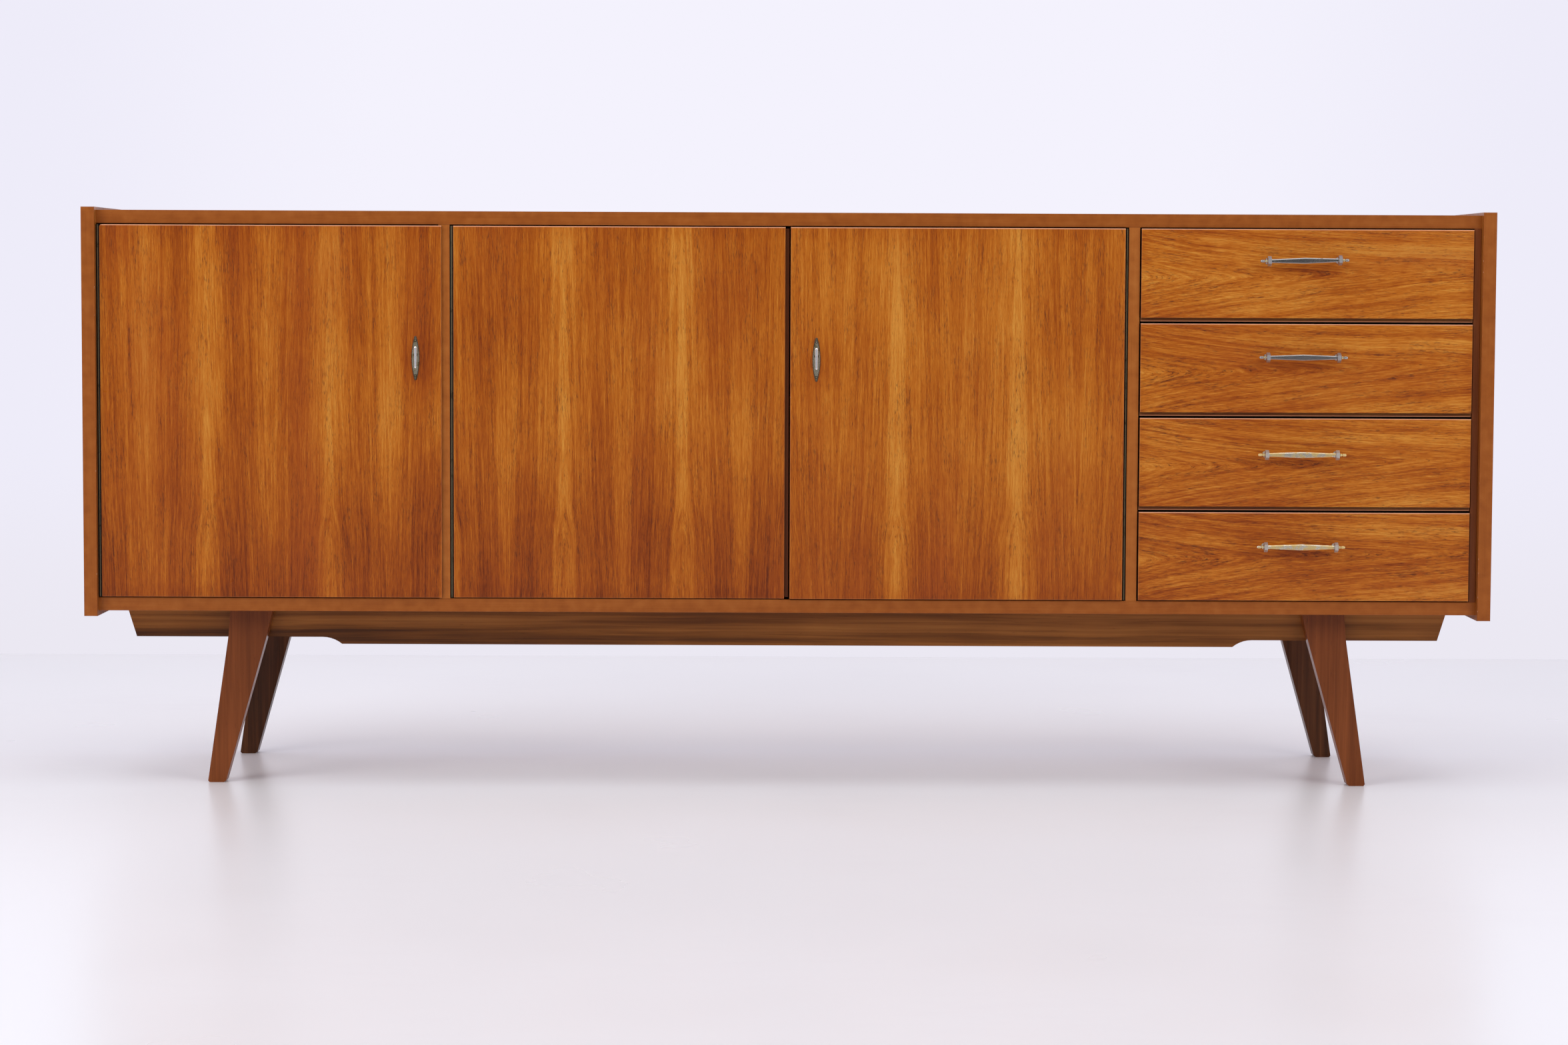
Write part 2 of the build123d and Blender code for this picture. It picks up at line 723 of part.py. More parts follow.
def drawer_front(index):
    """The front board, with the recessed strip under it and a groove for the bottom."""
    low, high = drawer_z(index)
    lip = drawer_lip if index < drawer_count - 1 else 0.0
    z_box = low + drawer_box_rise
    with BuildPart() as front:
        block(drawer_x, (y_face, y_face + panel_t), (low, high))
        fillet(front_edges(front), arris)
        if lip:
            block(drawer_x, (y_face + drawer_lip_recess, y_face + panel_t), (low - lip, low))
        block(
            grown(drawer_box_x, groove_depth - drawer_side_t),
            (y_face + panel_t - groove_depth, y_face + panel_t),
            (z_box + bottom_rise, z_box + bottom_rise + bottom_t + 2 * joint_play),
            Mode.SUBTRACT,
        )
        for x, z in pull_posts(index):
            rod((x, y_face, z), stud_r + stud_play, panel_t, "y", Mode.SUBTRACT)
    return front


def drawer_box(index):
    """Two sides and a back: three boards, with grooves for the runners and the bottom."""
    z_low = drawer_z(index)[0] + drawer_box_rise
    z_high = z_low + drawer_box_height
    x_low, x_high = drawer_box_x
    groove_z = (z_low + bottom_rise, z_low + bottom_rise + bottom_t + 2 * joint_play)
    slot_y = (drawer_box_y[0] + runner_stop - runner_clearance, drawer_box_y[1])
    slot_z = grown(runner_z(index), runner_clearance)
    with BuildPart() as box:
        for outer, inner in ((x_low, x_low + drawer_side_t), (x_high, x_high - drawer_side_t)):
            inward = 1 if inner > outer else -1
            block((outer, inner), drawer_box_y, (z_low, z_high))
            block(
                (outer, outer + inward * (runner_bite + runner_clearance)),
                slot_y,
                slot_z,
                Mode.SUBTRACT,
            )
            block(
                (inner, inner - inward * groove_depth),
                (drawer_box_y[0], drawer_box_y[1] - drawer_side_t),
                groove_z,
                Mode.SUBTRACT,
            )
        block(
            grown((x_low, x_high), -drawer_side_t - joint_play),
            (drawer_box_y[1] - drawer_side_t, drawer_box_y[1]),
            (groove_z[1] + joint_play, z_high),
        )
    return box


def drawer_bottom(index):
    """The thin bottom, held in the grooves of the front and the sides."""
    z_low = drawer_z(index)[0] + drawer_box_rise + bottom_rise + joint_play
    reach = groove_depth - joint_play
    with BuildPart() as bottom:
        block(
            grown(drawer_box_x, reach - drawer_side_t),
            (drawer_box_y[0] - reach, drawer_box_y[1] - drawer_side_t - joint_play),
            (z_low, z_low + bottom_t),
        )
    return bottom


def drawer_pull(index):
    """Bar, two hexagonal collars with turned tips, posts and studs in one, and a nut on each stud."""
    y = y_face - pull_standoff
    low, high = pull_posts(index)
    middle = ((low[0] + high[0]) / 2, (low[1] + high[1]) / 2)
    bar = (
        (low, pull_end_depth, pull_end_height),
        (middle, pull_mid_depth, pull_mid_height),
        (high, pull_end_depth, pull_end_height),
    )
    with BuildPart() as pull:
        for (x, z), depth, height in bar:
            with BuildSketch(Plane.YZ.offset(x)) as section:
                with Locations((y, z)):
                    Rectangle(depth, height)
                chamfer(section.vertices(), pull_bevel)
        loft(ruled=True)
        for (x, z), outward in ((low, -1), (high, 1)):
            with BuildSketch(Plane.YZ.offset(x - collar_width / 2)):
                with Locations((y, z)):
                    RegularPolygon(collar_r, 6, rotation=90)
            extrude(amount=collar_width)
            x_tip = x + outward * collar_width / 2
            tip_length = (pull_length - pull_spacing - collar_width) / 2
            with BuildSketch(Plane.XY.offset(z)):
                with BuildLine():
                    points = [(x_tip + outward * along, y - r) for along, r in tip_profile]
                    bead_end = (x_tip + outward * (tip_length - tip_r), y - tip_r)
                    Polyline((x_tip, y), *points, bead_end)
                    tip_end = (x_tip + outward * tip_length, y)
                    RadiusArc(bead_end, tip_end, -outward * tip_r)
                    Line(tip_end, (x_tip, y))
                make_face()
            revolve(axis=Axis((x_tip, y, z), (1, 0, 0)))
            rod((x, y, z), post_r, pull_standoff, "y")
            rod((x, y_face - post_flange_t, z), post_flange_r, post_flange_t, "y")
            rod((x, y_face, z), stud_r, panel_t + nut_t + stud_end, "y")
            y_nut = y_face + panel_t
            with BuildSketch(Plane.XZ.offset(-y_nut)):
                with Locations((x, z)):
                    RegularPolygon(nut_r, 6)
                    Circle(stud_r + pin_clearance, mode=Mode.SUBTRACT)
            extrude(amount=-nut_t)
    return pull


for index in range(drawer_count):
    number = index + 1
    save(drawer_front(index), f"drawer_{number}_front")
    save(drawer_box(index), f"drawer_{number}_box")
    save(drawer_bottom(index), f"drawer_{number}_bottom")
    save(drawer_pull(index), f"drawer_{number}_pull")
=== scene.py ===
import json
import math

import bpy
from mathutils import Matrix, Vector


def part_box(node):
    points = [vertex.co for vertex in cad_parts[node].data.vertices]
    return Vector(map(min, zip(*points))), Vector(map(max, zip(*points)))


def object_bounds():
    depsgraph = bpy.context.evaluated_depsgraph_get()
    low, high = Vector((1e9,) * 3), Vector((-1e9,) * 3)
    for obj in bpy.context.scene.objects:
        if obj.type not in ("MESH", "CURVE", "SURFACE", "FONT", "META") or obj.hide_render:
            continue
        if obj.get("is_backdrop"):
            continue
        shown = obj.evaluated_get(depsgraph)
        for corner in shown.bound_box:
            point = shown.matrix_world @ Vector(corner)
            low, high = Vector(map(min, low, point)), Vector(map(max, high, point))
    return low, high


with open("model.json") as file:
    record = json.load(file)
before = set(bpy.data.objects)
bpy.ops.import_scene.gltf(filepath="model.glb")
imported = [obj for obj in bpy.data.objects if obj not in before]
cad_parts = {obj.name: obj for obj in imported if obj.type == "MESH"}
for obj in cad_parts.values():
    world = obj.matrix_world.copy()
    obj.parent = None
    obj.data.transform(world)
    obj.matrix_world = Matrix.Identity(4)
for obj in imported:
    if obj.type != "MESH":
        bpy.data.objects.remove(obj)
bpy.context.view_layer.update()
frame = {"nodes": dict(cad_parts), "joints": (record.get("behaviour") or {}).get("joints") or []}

nodes = frame["nodes"]


# ------------------------------------------------------------------ shader graphs in words


def tint(red, green, blue):
    """A display colour, 0 to 255 a channel, as the linear colour that shaders take."""
    shares = [v / 255.0 for v in (red, green, blue)]
    linear = [v / 12.92 if v <= 0.04045 else ((v + 0.055) / 1.055) ** 2.4 for v in shares]
    return (*linear, 1.0)


class Field:
    """A number or colour that varies over a surface: one output of a shader node."""

    def __init__(self, paint, socket):
        self.paint = paint
        self.socket = socket

    def __add__(self, other):
        return self.paint.calc("ADD", self, other)

    def __radd__(self, other):
        return self.paint.calc("ADD", other, self)

    def __sub__(self, other):
        return self.paint.calc("SUBTRACT", self, other)

    def __rsub__(self, other):
        return self.paint.calc("SUBTRACT", other, self)

    def __mul__(self, other):
        return self.paint.calc("MULTIPLY", self, other)

    def __truediv__(self, other):
        return self.paint.calc("DIVIDE", self, other)

    def __abs__(self):
        return self.paint.calc("ABSOLUTE", self)


class Paint:
    """A procedural material in the making.

    x, y and z are metres in the CAD frame at rest, and facing_y is the y part of the normal.
    """

    def __init__(self, name):
        self.material = bpy.data.materials.new(name)
        self.material.use_nodes = True
        self.tree = self.material.node_tree
        self.tree.nodes.clear()
        place = self.tree.nodes.new("ShaderNodeTexCoord")
        split = self.add("ShaderNodeSeparateXYZ", Field(self, place.outputs["Object"]))
        facing = self.add("ShaderNodeSeparateXYZ", Field(self, place.outputs["Normal"]))
        self.x, self.y, self.z = (Field(self, s) for s in split.outputs)
        self.facing_y = Field(self, facing.outputs["Y"])

    def add(self, kind, *values, **settings):
        """A node of that kind, with its first inputs fed from fields or numbers."""
        node = self.tree.nodes.new(kind)
        for key, value in settings.items():
            setattr(node, key, value)
        for socket, value in zip(node.inputs, values):
            self.feed(socket, value)
        return node

    def feed(self, socket, value):
        """Links a field to the socket, or sets a plain value on it."""
        if isinstance(value, Field):
            self.tree.links.new(value.socket, socket)
        elif value is not None:
            socket.default_value = value

    def calc(self, operation, *values):
        """A math node's result as a field."""
        node = self.add("ShaderNodeMath", *values, operation=operation)
        return Field(self, node.outputs[0])

    def root(self, value):
        return self.calc("SQRT", value)

    def least(self, a, b):
        return self.calc("MINIMUM", a, b)

    def most(self, a, b):
        return self.calc("MAXIMUM", a, b)

    def bell(self, value, width):
        """1 where the value is 0, falling off over that width on both sides."""
        return self.calc("EXPONENT", (value * (1.0 / width)) * (value * (-1.0 / width)))

    def step(self, value, low, high, start=0.0, end=1.0):
        """Start below low, end above high, a smooth slope between."""
        node = self.tree.nodes.new("ShaderNodeMapRange")
        node.interpolation_type = "SMOOTHSTEP"
        for key, number in (
            ("Value", value),
            ("From Min", low),
            ("From Max", high),
            ("To Min", start),
            ("To Max", end),
        ):
            self.feed(node.inputs[key], number)
        return Field(self, node.outputs["Result"])

    def noise(self, a, b, c=0.0, detail=2.0, rough=0.5):
        """Smooth noise about 0, from about -1 to 1, over three coordinates."""
        vector = self.add("ShaderNodeCombineXYZ", a, b, c)
        node = self.tree.nodes.new("ShaderNodeTexNoise")
        self.feed(node.inputs["Vector"], Field(self, vector.outputs[0]))
        node.inputs["Scale"].default_value = 1.0
        node.inputs["Detail"].default_value = detail
        node.inputs["Roughness"].default_value = rough
        return (Field(self, node.outputs[0]) - 0.5) * 2.0

    def ramp(self, value, *stops):
        """A colour from stops of (place, display colour)."""
        node = self.add("ShaderNodeValToRGB", value)
        band = node.color_ramp.elements
        while len(band) < len(stops):
            band.new(1.0)
        for element, (place, colour) in zip(band, stops):
            element.position = place
            element.color = tint(*colour)
        return Field(self, node.outputs[0])

    def mix(self, share, first, second):
        """The first colour, with that share of the second mixed in."""
        node = self.tree.nodes.new("ShaderNodeMix")
        node.data_type = "RGBA"
        node.clamp_factor = True
        self.feed(node.inputs[0], share)
        self.feed(node.inputs[6], tint(*first) if isinstance(first, tuple) else first)
        self.feed(node.inputs[7], tint(*second) if isinstance(second, tuple) else second)
        return Field(self, node.outputs[2])

    def finish(self, colour, roughness, relief, depth, metallic=0.0, **fixed):
        """Closes the graph with a principled shader.

        relief is a height field and depth its size in metres. fixed are the shader's other inputs,
        the same all over.
        """
        bump = self.tree.nodes.new("ShaderNodeBump")
        bump.inputs["Strength"].default_value = 1.0
        bump.inputs["Distance"].default_value = depth
        self.feed(bump.inputs["Height"], relief)
        shader = self.tree.nodes.new("ShaderNodeBsdfPrincipled")
        self.feed(shader.inputs["Base Color"], colour)
        self.feed(shader.inputs["Roughness"], roughness)
        self.feed(shader.inputs["Metallic"], metallic)
        self.feed(shader.inputs["Normal"], Field(self, bump.outputs[0]))
        for key, value in fixed.items():
            shader.inputs[key.replace("_", " ")].default_value = value
        out = self.tree.nodes.new("ShaderNodeOutputMaterial")
        self.tree.links.new(shader.outputs[0], out.inputs[0])
        return self.material


# ------------------------------------------------------------------ woods

VENEER = (
    (0.00, (104, 40, 6)),
    (0.22, (142, 63, 10)),
    (0.45, (170, 86, 16)),
    (0.68, (194, 112, 30)),
    (1.00, (216, 146, 58)),
)
LACQUER = {"Specular_IOR_Level": 0.20, "Coat_Weight": 0.06, "Coat_Roughness": 0.08}


def veneer(paint, ring, across, along, glow, seed, shade_and_stains=(), figure=1.0):
    """Figured walnut veneer: its colour, roughness and relief.

    ring is the growth-ring coordinate, across and along are metres over and with the grain, glow
    makes it paler, the darkenings in the list make it darker (real marks in the wood and painted
    shade), and figure is the strength of the lines. The noises' numbers are waves a metre.
    """
    broad = paint.noise(ring * 48.0, along * 0.8, seed, 1.0)
    streak = paint.noise(ring * 190.0, along * 2.2, seed + 4.0, 3.0, 0.65)
    fibre = paint.noise(ring * 480.0, along * 12.0, across * 200.0 + seed, 4.0, 0.75)
    hair = paint.noise(across * 1500.0, along * 60.0, seed + 8.0, 2.0, 0.6)
    cloud = paint.noise(across * 8.0, along * 5.0, seed + 9.0, 2.0)
    lines = broad * 0.22 + streak * 0.30 + fibre * 0.42 + hair * 0.36
    tone = lines * figure + cloud * 0.22 + glow + 0.54
    # less tone for each entry in the list: real marks in the wood, and painted shade
    for darkening in shade_and_stains:
        tone = tone - darkening
    red = paint.noise(across * 11.0, along * 2.2, seed + 12.0, 2.0)
    colour = paint.ramp(tone, *VENEER)
    colour = paint.mix(paint.step(red, -0.1, 0.6, 0.0, 0.35), colour, (162, 74, 26))
    apart = across * 260.0 + seed
    crowd = paint.noise(ring * 60.0, along * 14.0, apart * 0.2, 2.0)
    dash = paint.noise(ring * 850.0, along * 82.0, apart, 2.0, 0.6)
    grit = paint.noise(across * 1150.0, along * 150.0, seed + 18.0, 1.0)
    pores = paint.step(dash - streak * 0.35 + crowd * 0.35, 0.16, 0.50)
    specks = paint.step(grit + crowd * 0.4, 0.05, 0.6)
    colour = paint.mix(pores * (0.50 * figure) + specks * 0.28, colour, (76, 32, 12))
    relief = fibre * 0.25 - pores
    gloss = paint.noise(across * 22.0, along * 15.0, seed + 21.0, 3.0)
    return colour, 0.30 + gloss * 0.06 + pores * 0.15, relief


def nearest_edge(paint, low, high):
    """How far a point of a face is from the closest side of its box, in metres."""
    return paint.least(
        paint.least(paint.x - low[0], high[0] - paint.x),
        paint.least(paint.z - low[2], high[2] - paint.z),
    )


def door_veneer(name, low, high, first_band, pitch, seed, key, lift, foot):
    """A door face of slip-matched leaves: bright bands, and flames opening downwards at the foot.

    first_band is the x of one bright band and pitch the width of a leaf. key is where the keyhole
    is, lift how much paler the door is, and foot how much darker it is at its foot: partly painted
    shade, partly the wood's own tone.
    """
    paint = Paint(name)
    sway = paint.noise(paint.x * 3.0, paint.z * 1.6, seed) * 0.006
    across = paint.x + sway
    leaf = paint.calc("WRAP", across - first_band, pitch / 2, -pitch / 2)
    side = paint.root(leaf * leaf + 0.004**2)
    flame = paint.step(paint.z, 0.35, 0.41) * paint.bell(leaf, 0.040)
    ring = side + paint.z * 0.022 + flame * 0.006
    width = paint.step(paint.z, 0.33, 0.40, 0.022, 0.015)
    band = paint.calc("EXPONENT", (leaf / width) * (leaf / width) * -1.0)
    glow = band * 0.24 + lift
    shade_and_stains = [paint.bell(side - pitch * 0.29, pitch * 0.10) * 0.14]
    if key:
        halo = paint.bell(paint.x - key[0], 0.022) * paint.bell(paint.z - key[1], 0.034)
        shade_and_stains.append(halo * 0.20)
    edge = nearest_edge(paint, low, high)
    # painted shade: darker within 3 cm of the door's edges
    shade_and_stains.append(paint.step(edge, 0.0, 0.03, 0.06, 0.0))
    # darker towards the foot: partly painted shade, partly the wood's own tone
    shade_and_stains.append(paint.step(paint.z, low[2], 0.56, foot, 0.0))
    colour, roughness, relief = veneer(paint, ring, across, paint.z, glow, seed, shade_and_stains)
    colour = arris_wear_and_light(paint, edge, colour, seed, high[2])
    return paint.finish(colour, roughness, relief, 0.00006, **LACQUER)


def drawer_veneer(name, low, high, seed, lift, grip):
    """A drawer face: lengthwise grain, rings that meet in points on the left and run out right.

    grip is a point just below the pull: the wood around it is darker, partly the pull's painted
    shadow and partly grime from hands.
    """
    paint = Paint(name)
    middle = (low[2] + high[2]) / 2
    sway = paint.noise(paint.x * 5.0, paint.z * 3.0, seed) * 0.006
    across = paint.z + sway
    from_left = paint.x - low[0]
    point = across - middle + 0.006 - from_left * 0.03
    side = paint.root(point * point + 0.006**2)
    bend = 1.0 - paint.calc("EXPONENT", from_left * (-1.0 / 0.17))
    ring = side + from_left * 0.05 + bend * 0.028
    pale = paint.bell(across - middle - 0.035, 0.012) * paint.step(from_left, 0.15, 0.35)
    glow = pale * 0.20 + lift
    edge = nearest_edge(paint, low, high)
    # painted shade: darker within 2 cm of the face's edges
    shade = paint.step(edge, 0.0, 0.02, 0.08, 0.0)
    # painted shadow just below the pull, with grime from hands
    pull_shadow_and_grime = paint.bell(paint.x - grip[0], 0.062) * paint.bell(paint.z - grip[1], 0.011)
    # from here on this shade also holds that grime
    shade = shade + pull_shadow_and_grime * 0.24
    colour, roughness, relief = veneer(
        paint, ring * 1.3, across, paint.x, glow, seed, [shade], 1.4
    )
    # painted shade on the lip set back behind the drawer face
    recess_shade = paint.step(paint.y, low[1] + 0.002, low[1] + 0.003)
    colour = paint.mix(recess_shade * 0.8, colour, (74, 40, 18))
    # a painted highlight along the lower arris of that lip
    lit_lower_rim = paint.step(paint.z, low[2] + 0.0009, low[2] + 0.0012, 1.0, 0.0)
    colour = paint.mix(recess_shade * lit_lower_rim, colour, (196, 128, 92))
    colour = arris_wear_and_light(paint, edge, colour, seed, high[2])
    return paint.finish(colour, roughness, relief, 0.00006, **LACQUER)


def arris_wear_and_light(paint, edge, colour, seed, top):
    """Edges lighter from wear and from painted highlight, with small chips; a painted highlight
    along the top; and painted shade on the faces round them, which look into the gaps.
    """
    nick = paint.noise(paint.x * 160.0, paint.z * 160.0, seed + 30.0, 2.0)
    rubbed = paint.step(edge, 0.0002, 0.0012, 1.0, 0.0)
    chip = paint.step(nick, 0.45, 0.6) * rubbed
    # lighter edges: partly wear, partly painted highlight on the arrises
    colour = paint.mix(rubbed * 0.30, colour, (214, 140, 96))
    # a painted highlight along the top arris
    pale = paint.step(top - paint.z, 0.0008, 0.0016, 1.0, 0.0)
    colour = paint.mix(pale * 0.85, colour, (246, 178, 140))
    colour = paint.mix(chip * 0.8, colour, (230, 190, 160))
    # painted shade on faces that look sideways into the gaps between parts
    gap_face_shade = paint.step(abs(paint.facing_y), 0.3, 0.6, 0.8, 0.0)
    return paint.mix(gap_face_shade, colour, (44, 22, 10))


def solid_wood(
    name,
    grain,
    tones,
    seed,
    streaks=0.4,
    fine=0.25,
    face=None,
    arris=None,
    lacquer=LACQUER,
    roughness=0.36,
):
    """Solid or plainly veneered wood with the grain along one axis.

    tones is its colour ramp, and face the ramp of the plainer lippings on its front. arris is how
    far from the middle an edge stands whose corner is chipped down to pale wood.
    """
    paint = Paint(name)
    axes = {"x": paint.x, "y": paint.y, "z": paint.z}
    along = axes.pop(grain)
    first, second = axes.values()
    sway = paint.noise(along * 2.0, first * 3.0, second * 3.0) * 0.008
    a = first + sway
    b = second + sway
    broad = paint.noise(a * 26.0, b * 26.0, along * 0.8 + seed, 2.0)
    streak = paint.noise(a * 130.0, b * 130.0, along * 1.6 + seed, 2.0, 0.6)
    fibre = paint.noise(a * 620.0, b * 620.0, along * 10.0 + seed, 2.0, 0.6)
    cloud = paint.noise(first * 9.0, second * 9.0, along * 6.0 + seed, 2.0)
    tone = broad * streaks + streak * streaks * 0.8 + fibre * fine + cloud * 0.2 + 0.5
    colour = paint.ramp(tone, *tones)
    dash = paint.noise(a * 950.0, b * 950.0, along * 65.0 + seed, 1.0)
    pores = paint.step(dash, 0.40, 0.62)
    if face:
        front = paint.step(paint.facing_y, -0.8, -0.6, 1.0, 0.0)
        mottle = paint.noise(paint.x * 60.0, paint.z * 60.0, seed, 3.0)
        lipping = paint.ramp(mottle * 0.4 + fibre * 0.2 + streak * 0.15 + 0.5, *face)
        colour = paint.mix(front, colour, lipping)
        pores = pores * (1.0 - front * 0.75)
        if arris:
            nick = paint.noise(paint.x * 110.0, paint.z * 130.0, seed + 3.0, 3.0, 0.7)
            corner = paint.step(abs(abs(paint.x) - arris), 0.0006, 0.0018, 1.0, 0.0) * front
            chip = paint.step(nick + corner * 0.5, 0.72, 0.80) * corner
            colour = paint.mix(chip, colour, (228, 188, 156))
    darkest = tones[0][1]
    colour = paint.mix(pores * 0.5, colour, tuple(int(v * 0.45) for v in darkest))
    gloss = paint.noise(paint.x * 18.0, paint.y * 18.0, paint.z * 18.0, 3.0)
    relief = fibre * 0.3 - pores
    return paint.finish(
        colour, gloss * 0.06 + pores * 0.12 + roughness, relief, 0.00006, **lacquer
    )


PARTING = ((0.0, (136, 68, 20)), (0.5, (170, 96, 36)), (1.0, (186, 114, 50)))
LIPPING = ((0.0, (128, 62, 16)), (0.5, (156, 84, 28)), (1.0, (174, 102, 42)))
CASE = ((0.0, (92, 44, 14)), (0.35, (138, 74, 26)), (0.65, (166, 96, 36)), (1.0, (190, 122, 54)))
RAIL = ((0.0, (78, 40, 8)), (0.35, (122, 70, 22)), (0.65, (156, 96, 40)), (1.0, (184, 122, 58)))
# the legs' wood in painted shade, for the rear legs that stand under the case
SHADED_LEG = ((0.0, (38, 18, 8)), (0.4, (76, 42, 20)), (0.7, (100, 58, 30)), (1.0, (124, 76, 42)))
LEG = ((0.0, (78, 36, 12)), (0.4, (116, 58, 22)), (0.7, (138, 73, 33)), (1.0, (158, 91, 47)))
PALE = (
    (0.0, (140, 100, 60)),
    (0.4, (184, 142, 94)),
    (0.7, (206, 168, 118)),
    (1.0, (224, 190, 142)),
)
DULL = {"Specular_IOR_Level": 0.25}


# ------------------------------------------------------------------ metals

GRIME = (40, 32, 24)
BARREL_UNSHADED = 0.0008      # a knuckle keeps its own metal colour this far to each side of its axis, painted shade beyond
COLLAR_AT = 0.050          # from the middle of a pull to each of its collars
COLLAR_REACH = 0.0026      # from the middle of a collar to its faces
NECK_AT = 0.0048           # from a collar to the neck of the tip outside it
PIN_SHARE = 0.80           # where an escutcheon's pins are, as a share of its half height
PIN_RADIUS = 0.0017


def metal(name, clean, worn, seed, wear, roughness, barrels=(), middle=None, plate=None):
    """Plated or bare metal with rubbed patches, fine pitting and grime.

    barrels are the x of hinge axes: the metal beside each knuckle is black, painted shade of the
    gap with some grime. middle is the x of a pull's middle, whose collars are duller than the bar
    and whose necks are brass. plate is the box of a pointed escutcheon, whose rim and two pins are
    darker.
    """
    paint = Paint(name)
    cloud = paint.noise(paint.x * 90.0, paint.y * 90.0, paint.z * 90.0 + seed, 3.0)
    grain = paint.noise(paint.x * 900.0, paint.y * 900.0, paint.z * 900.0 + seed, 3.0)
    patch = paint.step(cloud + grain * 0.35, 0.25 - wear, 0.55 - wear)
    colour = paint.mix(patch, clean, worn)
    pits = paint.step(grain + cloud * 0.4, 0.30, 0.55)
    colour = paint.mix(pits * 0.5, colour, GRIME)
    dull = pits * 0.25 + patch * 0.12 + cloud * 0.05 + roughness
    shine = 1.0
    if barrels:
        beside = 1.0
        for axis in barrels:
            beside = paint.least(abs(paint.x - axis), beside)
        # painted shade of the gap beside each knuckle, with some grime
        gap_shade_and_grime = paint.step(beside + cloud * 0.0001, BARREL_UNSHADED, BARREL_UNSHADED + 0.0002)
        colour = paint.mix(gap_shade_and_grime, colour, (8, 6, 5))
        shine = 1.0 - gap_shade_and_grime
        dull = dull + gap_shade_and_grime * 0.5
    if middle is not None:
        outward = abs(paint.x - middle) - COLLAR_AT
        collar = paint.step(abs(outward), COLLAR_REACH, COLLAR_REACH + 0.0003, 1.0, 0.0)
        colour = paint.mix(collar * 0.8, colour, (188, 184, 186))
        dull = dull + collar * 0.24
        neck = paint.step(abs(outward - NECK_AT), 0.0018, 0.0022, 1.0, 0.0)
        colour = paint.mix(neck * 0.7, colour, (226, 206, 150))
    if plate:
        low, high = plate
        off_x = abs(paint.x - (low[0] + high[0]) / 2)
        off_z = abs(paint.z - (low[2] + high[2]) / 2)
        half = (high[2] - low[2]) / 2
        reach = off_x * (2.0 / (high[0] - low[0])) + off_z * off_z * (1.0 / half**2)
        rim = paint.step(reach + cloud * 0.05, 0.70, 0.95) * 0.75
        from_pin = off_z - half * PIN_SHARE
        pin = paint.root(off_x * off_x + from_pin * from_pin)
        rim = paint.most(rim, paint.bell(pin - PIN_RADIUS, 0.0006))
        colour = paint.mix(rim, colour, (46, 38, 26))
        shine = 1.0 - rim * 0.5
    return paint.finish(colour, dull, grain * 0.4 - pits, 0.00004, metallic=shine)


# ------------------------------------------------------------------ giving every node its finish

bare = set(nodes)


def clothe(names, material):
    """Gives the CAD nodes of those names that one material."""
    for name in names:
        bare.discard(name)
        data = nodes[name].data
        data.materials.clear()
        data.materials.append(material)


def matching(*starts):
    """The CAD nodes whose names start with any of these."""
    return sorted(n for n in nodes if n.startswith(starts))


# node, x of a bright band, width of a leaf, seed, escutcheon, paler by, darker at its foot by
DOORS = (
    ("door_left", -0.825, 0.173, 1.7, "escutcheon_left", 0.02, 0.20),
    ("door_middle", -0.3185, 0.167, 5.3, None, -0.02, 0.20),
    ("door_right", 0.1537, 0.1706, 9.1, "escutcheon_right", 0.08, 0.15),
)
DRAWERS_PALER = (0.13, 0.07, 0.05, 0.05)       # by how much, from the top drawer down

for node, band, pitch, seed, plate, lift, foot in DOORS:
    low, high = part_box(node)
    key = None
    if plate:
        plate_low, plate_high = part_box(plate)
        key = (
            (plate_low[0] + plate_high[0]) / 2 + 0.003,
            (plate_low[2] + plate_high[2]) / 2 - 0.006,
        )
    clothe([node], door_veneer("veneer_" + node, low, high, band, pitch, seed, key, lift, foot))

for number, lift in enumerate(DRAWERS_PALER, 1):
    node = f"drawer_{number}_front"
    low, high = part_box(node)
    pull_low, pull_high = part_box(f"drawer_{number}_pull")
    # just below the pull: the middle of its painted shadow and of the grime from hands
    grip = ((pull_low[0] + pull_high[0]) / 2, pull_low[2] - 0.003)
    clothe([node], drawer_veneer("veneer_" + node, low, high, 20.0 + number * 0.13, lift, grip))

SIDE_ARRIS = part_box("side_panel_right")[0][0]
clothe(
    matching("side_panel"),
    solid_wood("side_wood", "z", CASE, 31.0, face=LIPPING, arris=SIDE_ARRIS),
)
clothe(matching("partition"), solid_wood("partition_wood", "z", CASE, 33.0, face=PARTING))
clothe(
    matching("top_board", "bottom_board", "shelf_left", "shelf_middle"),
    solid_wood("board_wood", "x", CASE, 35.0, face=LIPPING),
)
clothe(matching("front_rail", "rear_rail"), solid_wood("rail_wood", "x", RAIL, 37.0, 0.7, 0.2))
clothe(matching("cross_rails"), solid_wood("cross_rail_wood", "y", RAIL, 38.0))
clothe(matching("leg_front"), solid_wood("leg_wood", "z", LEG, 41.0))
# the rear legs take the darker ramp: painted shade under the case
clothe(matching("leg_rear"), solid_wood("rear_leg_wood_in_shade", "z", SHADED_LEG, 42.0, 0.6))
clothe(matching("drawer_filler", "astragal"), solid_wood("strip_wood", "z", LEG, 43.0))
clothe(
    matching("back_panel", "drawer_runners")
    + [name for name in matching("drawer_") if name.endswith(("_box", "_bottom"))],
    solid_wood("pale_wood", "x", PALE, 47.0, 0.25, 0.2, lacquer=DULL, roughness=0.55),
)

